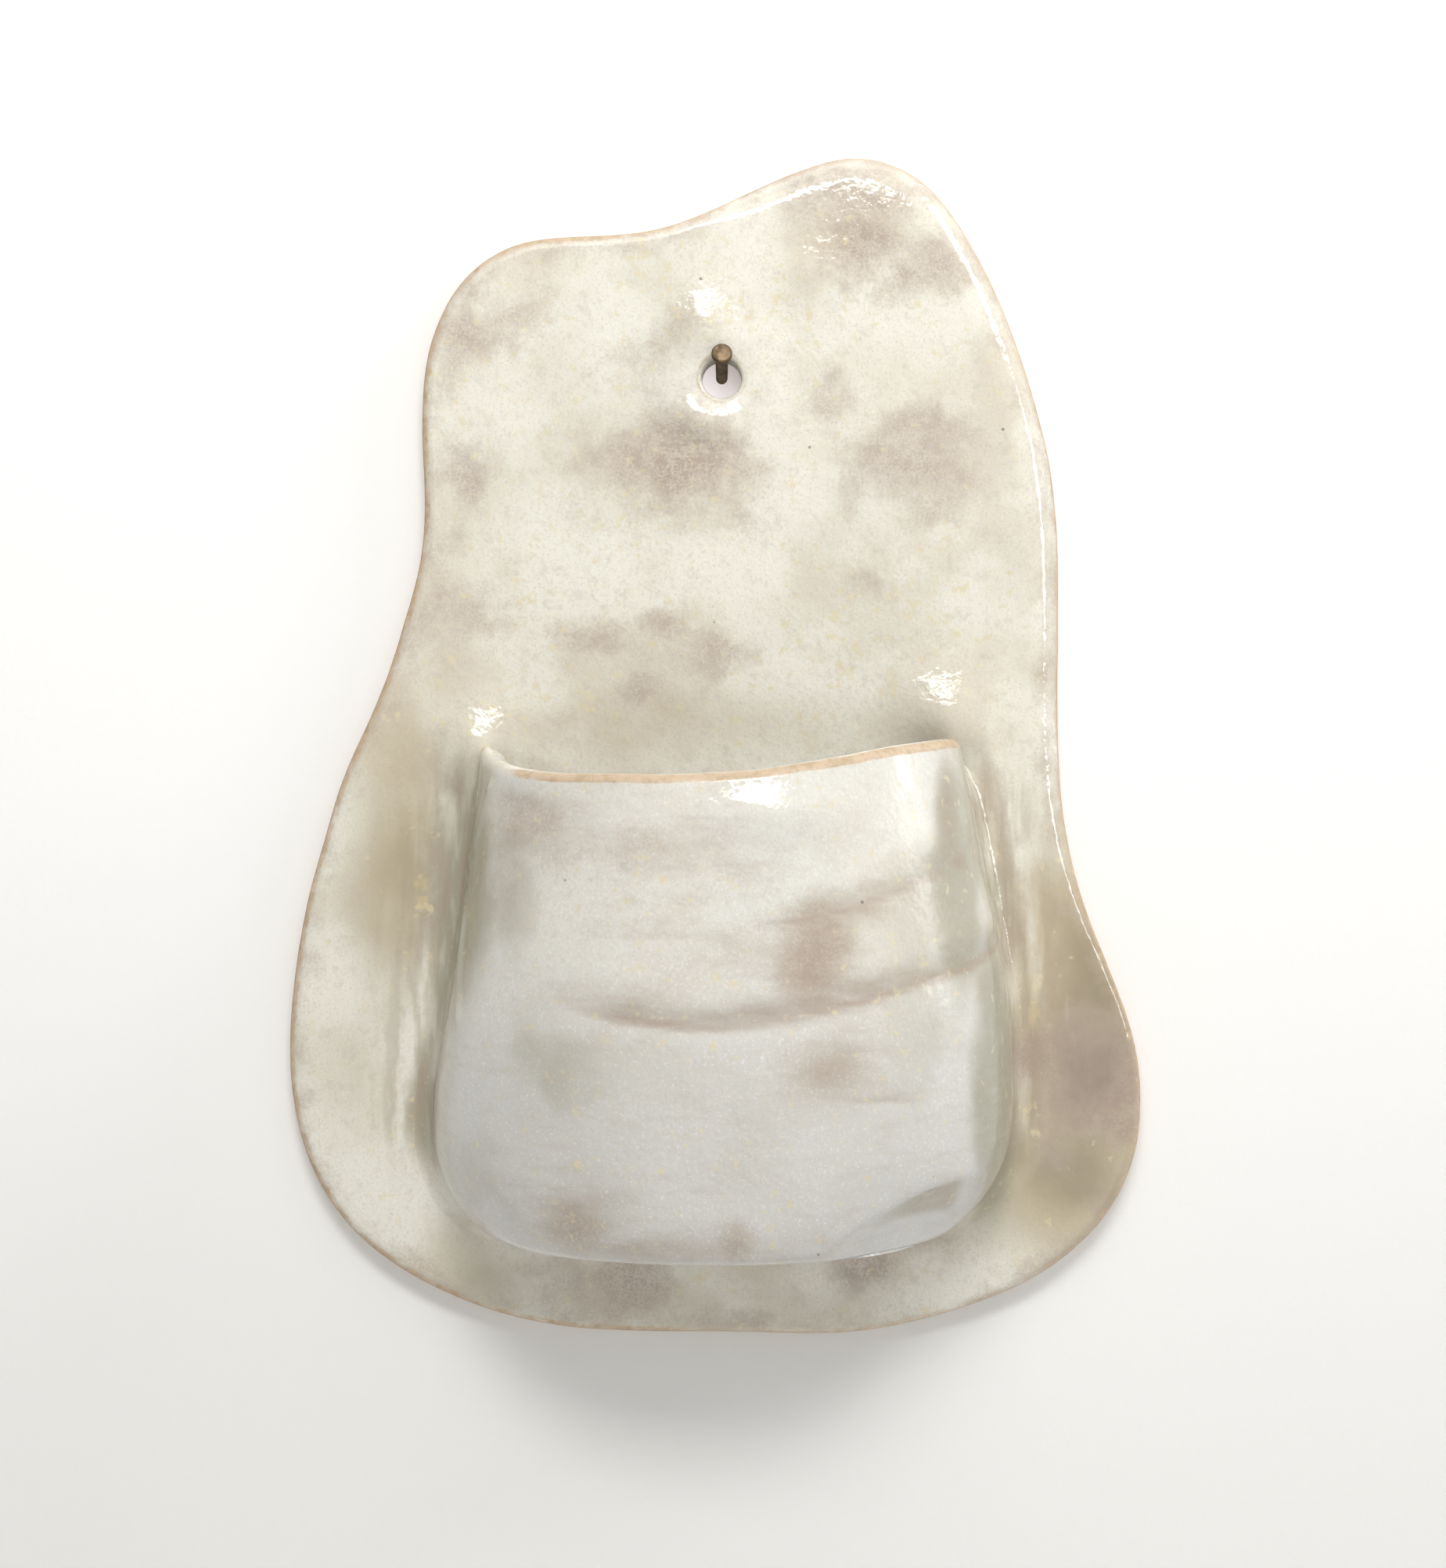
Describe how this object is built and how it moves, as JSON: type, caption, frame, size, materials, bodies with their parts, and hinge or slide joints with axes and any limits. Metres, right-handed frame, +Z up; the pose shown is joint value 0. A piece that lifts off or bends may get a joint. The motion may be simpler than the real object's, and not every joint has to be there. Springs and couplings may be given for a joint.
{
  "type": "hanging wall vase",
  "caption": "Hand-built glazed wall vase: a lobed back slab with a nail hole, a bellied open pocket low on its front, and the nail it hangs on.",
  "frame": {"origin": "where the nail's axis meets the plane of the wall, which is also the plane of the slab's back", "axes": "+X to the viewer's right, +Y into the wall, +Z up"},
  "size_m": [0.181, 0.0809, 0.2505],
  "materials": {
    "glazed_stoneware": "gloss",
    "nail_brass": "satin"
  },
  "bodies": {
    "nail": {"nail": "nail_brass"},
    "vase": {"back_slab": "glazed_stoneware", "pocket_front": "glazed_stoneware", "pocket_floor": "glazed_stoneware", "left_seam_coil": "glazed_stoneware", "right_seam_coil": "glazed_stoneware", "bottom_seam_coil": "glazed_stoneware"}
  },
  "joints": [
    {"name": "swing_on_nail", "type": "hinge", "parent": "nail", "child": "vase", "pos_m": [0, -0.0056, 0.00177], "axis": [0, 1, 0], "range_deg": [-30, 30]}
  ]
}
